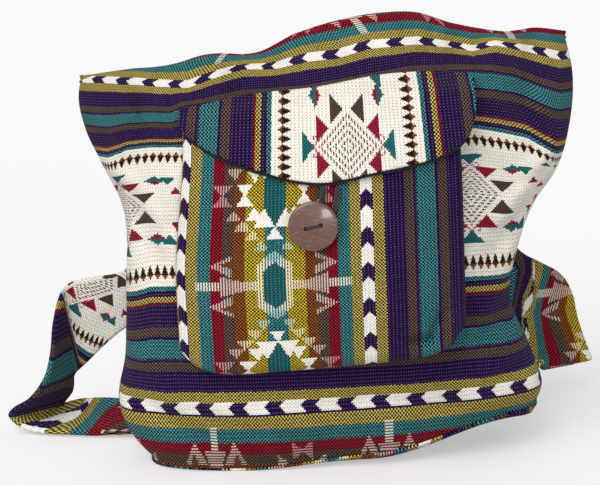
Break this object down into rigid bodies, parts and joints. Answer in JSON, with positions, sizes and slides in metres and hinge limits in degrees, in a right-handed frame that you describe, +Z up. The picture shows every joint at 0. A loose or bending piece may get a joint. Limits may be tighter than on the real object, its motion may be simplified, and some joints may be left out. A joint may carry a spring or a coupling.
{
  "type": "hand-woven cloth backpack",
  "caption": "Stuffed backpack of striped hand-woven cloth with a flapped patch pocket, coconut-shell button on a cloth loop, two wide cloth straps and a zip along the top.",
  "frame": {"origin": "on the flat of the base panel that rests on the floor, in the plane of the side seams", "axes": "+Z up, -Y out of the front with the pocket, +X to the right seen from the front, along the bag's width"},
  "size_m": [0.4994, 0.2507, 0.3425],
  "materials": {
    "woven_cloth": "coarse hand-woven cotton in purple, teal, gold, crimson and cream stripes",
    "black_lining": "thin plain-woven black cotton",
    "coconut_shell": "turned and lightly polished coconut shell",
    "black_thread": "twisted waxed thread",
    "charcoal_cloth": "felted charcoal cotton",
    "zip_tape": "black woven tape with moulded teeth",
    "zip_metal": "aged plated zinc"
  },
  "bodies": {
    "bag": {"front_panel": "woven_cloth", "back_panel": "woven_cloth", "base_panel": "woven_cloth", "pocket_panel": "woven_cloth", "pocket_flap": "woven_cloth", "flap_lining": "black_lining", "button": "coconut_shell", "button_thread": "black_thread", "button_loop": "charcoal_cloth", "strap_left": "woven_cloth", "strap_right": "woven_cloth", "zip_tape_front": "zip_tape", "zip_tape_back": "zip_tape", "zip_stop_left": "zip_metal", "zip_stop_right": "zip_metal"},
    "slider": {"zip_slider": "zip_metal"},
    "pull": {"zip_pull": "zip_metal"}
  },
  "joints": [
    {"name": "zip_slide", "type": "slide", "parent": "bag", "child": "slider", "axis": [0.9986, 0, 0.053], "range_m": [-0.28, 0]},
    {"name": "pull_swing", "type": "hinge", "parent": "slider", "child": "pull", "pos_m": [0.14417, 0, 0.31387], "axis": [0, 1, 0], "range_deg": [0, 110]}
  ]
}
